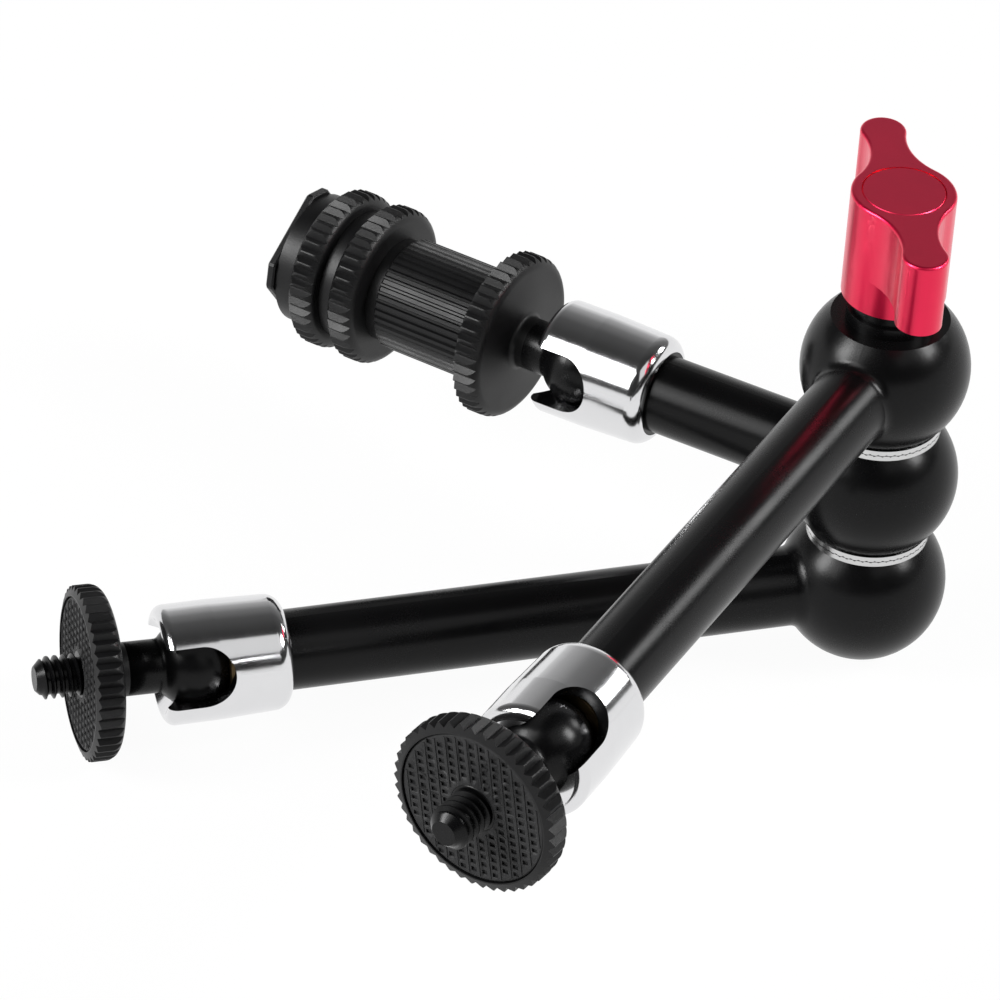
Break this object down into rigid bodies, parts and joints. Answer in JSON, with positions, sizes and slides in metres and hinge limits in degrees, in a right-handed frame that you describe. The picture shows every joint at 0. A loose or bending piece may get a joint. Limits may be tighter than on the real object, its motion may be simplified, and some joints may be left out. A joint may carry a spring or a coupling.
{
  "type": "articulating friction arm",
  "caption": "Three-headed articulating friction arm: tubes on one wing-knob pivot, each ending in a slotted ball joint with a threaded stud or an accessory shoe foot.",
  "frame": {"origin": "middle of the bottom wheel's front face, where its stud is screwed in", "axes": "+Z along the pivot towards the knob, +X from the bottom arm's stud towards the pivot"},
  "size_m": [0.1398, 0.1756, 0.0826],
  "materials": {
    "black_arm": "satin black anodised",
    "black_stud": "black oxide",
    "black_wheel": "matte black anodised",
    "black_adapter": "matte black anodised",
    "wheel_pad": "matte black",
    "chrome_cup": "polished",
    "ring_steel": "bright",
    "rod_steel": "ground",
    "plunger_brass": "turned",
    "washer_black": "matte",
    "red_knob": "red anodised"
  },
  "bodies": {
    "bottom_arm": {"bottom_arm": "black_arm", "bottom_push_rod": "rod_steel", "bottom_brake_plunger": "plunger_brass", "bottom_cup": "chrome_cup", "bottom_arm_ring": "ring_steel", "pivot_bolt": "black_stud", "bottom_wedge": "rod_steel", "middle_wedge": "rod_steel", "top_wedge": "rod_steel"},
    "middle_arm": {"middle_arm": "black_arm", "middle_push_rod": "rod_steel", "middle_brake_plunger": "plunger_brass", "middle_cup": "chrome_cup", "middle_arm_lower_ring": "ring_steel", "middle_arm_upper_ring": "ring_steel"},
    "top_arm": {"top_arm": "black_arm", "top_push_rod": "rod_steel", "top_brake_plunger": "plunger_brass", "top_cup": "chrome_cup", "top_arm_ring": "ring_steel", "thrust_washer": "washer_black"},
    "knob": {"knob": "red_knob", "knob_insert": "black_stud", "knob_cap": "red_knob"},
    "bottom_stud": {"bottom_ball_stud": "black_stud"},
    "bottom_wheel": {"bottom_wheel": "black_wheel", "bottom_wheel_pad": "wheel_pad"},
    "middle_stud": {"middle_ball_stud": "black_stud"},
    "middle_wheel": {"middle_wheel": "black_wheel", "middle_wheel_pad": "wheel_pad"},
    "top_stud": {"top_ball_stud": "black_stud"},
    "top_wheel": {"top_wheel": "black_wheel", "top_wheel_pad": "wheel_pad"},
    "coupler": {"coupler": "black_adapter"},
    "shoe_foot": {"shoe_foot": "black_adapter"},
    "lock_nut": {"lock_nut": "black_adapter"},
    "clamp_nut": {"clamp_nut": "black_adapter"}
  },
  "joints": [
    {"name": "middle_arm_swing", "type": "hinge", "parent": "bottom_arm", "child": "middle_arm", "pos_m": [0.12063, 0.00042, -0.00076], "axis": [0, 0, 1], "range_deg": [-291, 36]},
    {"name": "top_arm_swing", "type": "hinge", "parent": "middle_arm", "child": "top_arm", "pos_m": [0.12063, 0.00042, -0.00076], "axis": [0, 0, 1], "range_deg": [-82, 261]},
    {"name": "knob_turn", "type": "hinge", "parent": "bottom_arm", "child": "knob", "pos_m": [0.12063, 0.00042, -0.00076], "axis": [0, 0, 1], "continuous": true},
    {"name": "bottom_stud_tilt", "type": "hinge", "parent": "bottom_arm", "child": "bottom_stud", "pos_m": [0.01733, 0.00042, -0.00076], "axis": [0.0322, 0.3533, 0.935], "range_deg": [-92, 87.5]},
    {"name": "bottom_wheel_turn", "type": "hinge", "parent": "bottom_stud", "child": "bottom_wheel", "pos_m": [0.00694, 0.00017, -0.0003], "axis": [-0.9987, -0.0244, 0.0436], "continuous": true},
    {"name": "middle_stud_tilt", "type": "hinge", "parent": "middle_arm", "child": "middle_stud", "pos_m": [0.08559, 0.0351, 0.0189], "axis": [0.0805, 0.1161, 0.99], "range_deg": [-85.5, 94]},
    {"name": "middle_wheel_turn", "type": "hinge", "parent": "middle_stud", "child": "middle_wheel", "pos_m": [0.07971, 0.04184, 0.01859], "axis": [-0.657, 0.7531, -0.0349], "continuous": true},
    {"name": "top_stud_tilt", "type": "hinge", "parent": "top_arm", "child": "top_stud", "pos_m": [0.04861, -0.07363, 0.03856], "axis": [-0.5227, 0.6301, 0.5742], "range_deg": [-87, 92.5]},
    {"name": "top_wheel_turn", "type": "hinge", "parent": "top_stud", "child": "top_wheel", "pos_m": [0.04066, -0.08033, 0.03867], "axis": [-0.7649, -0.6441, 0.0105], "continuous": true},
    {"name": "coupler_turn", "type": "hinge", "parent": "middle_stud", "child": "coupler", "pos_m": [0.07524, 0.04696, 0.01835], "axis": [-0.657, 0.7531, -0.0349], "continuous": true},
    {"name": "shoe_foot_turn", "type": "hinge", "parent": "coupler", "child": "shoe_foot", "pos_m": [0.06262, 0.06142, 0.01768], "axis": [-0.657, 0.7531, -0.0349], "continuous": true},
    {"name": "lock_nut_turn", "type": "hinge", "parent": "shoe_foot", "child": "lock_nut", "pos_m": [0.06259, 0.06146, 0.01768], "axis": [-0.657, 0.7531, -0.0349], "continuous": true},
    {"name": "clamp_nut_turn", "type": "hinge", "parent": "shoe_foot", "child": "clamp_nut", "pos_m": [0.0578, 0.06696, 0.01743], "axis": [-0.657, 0.7531, -0.0349], "continuous": true}
  ]
}
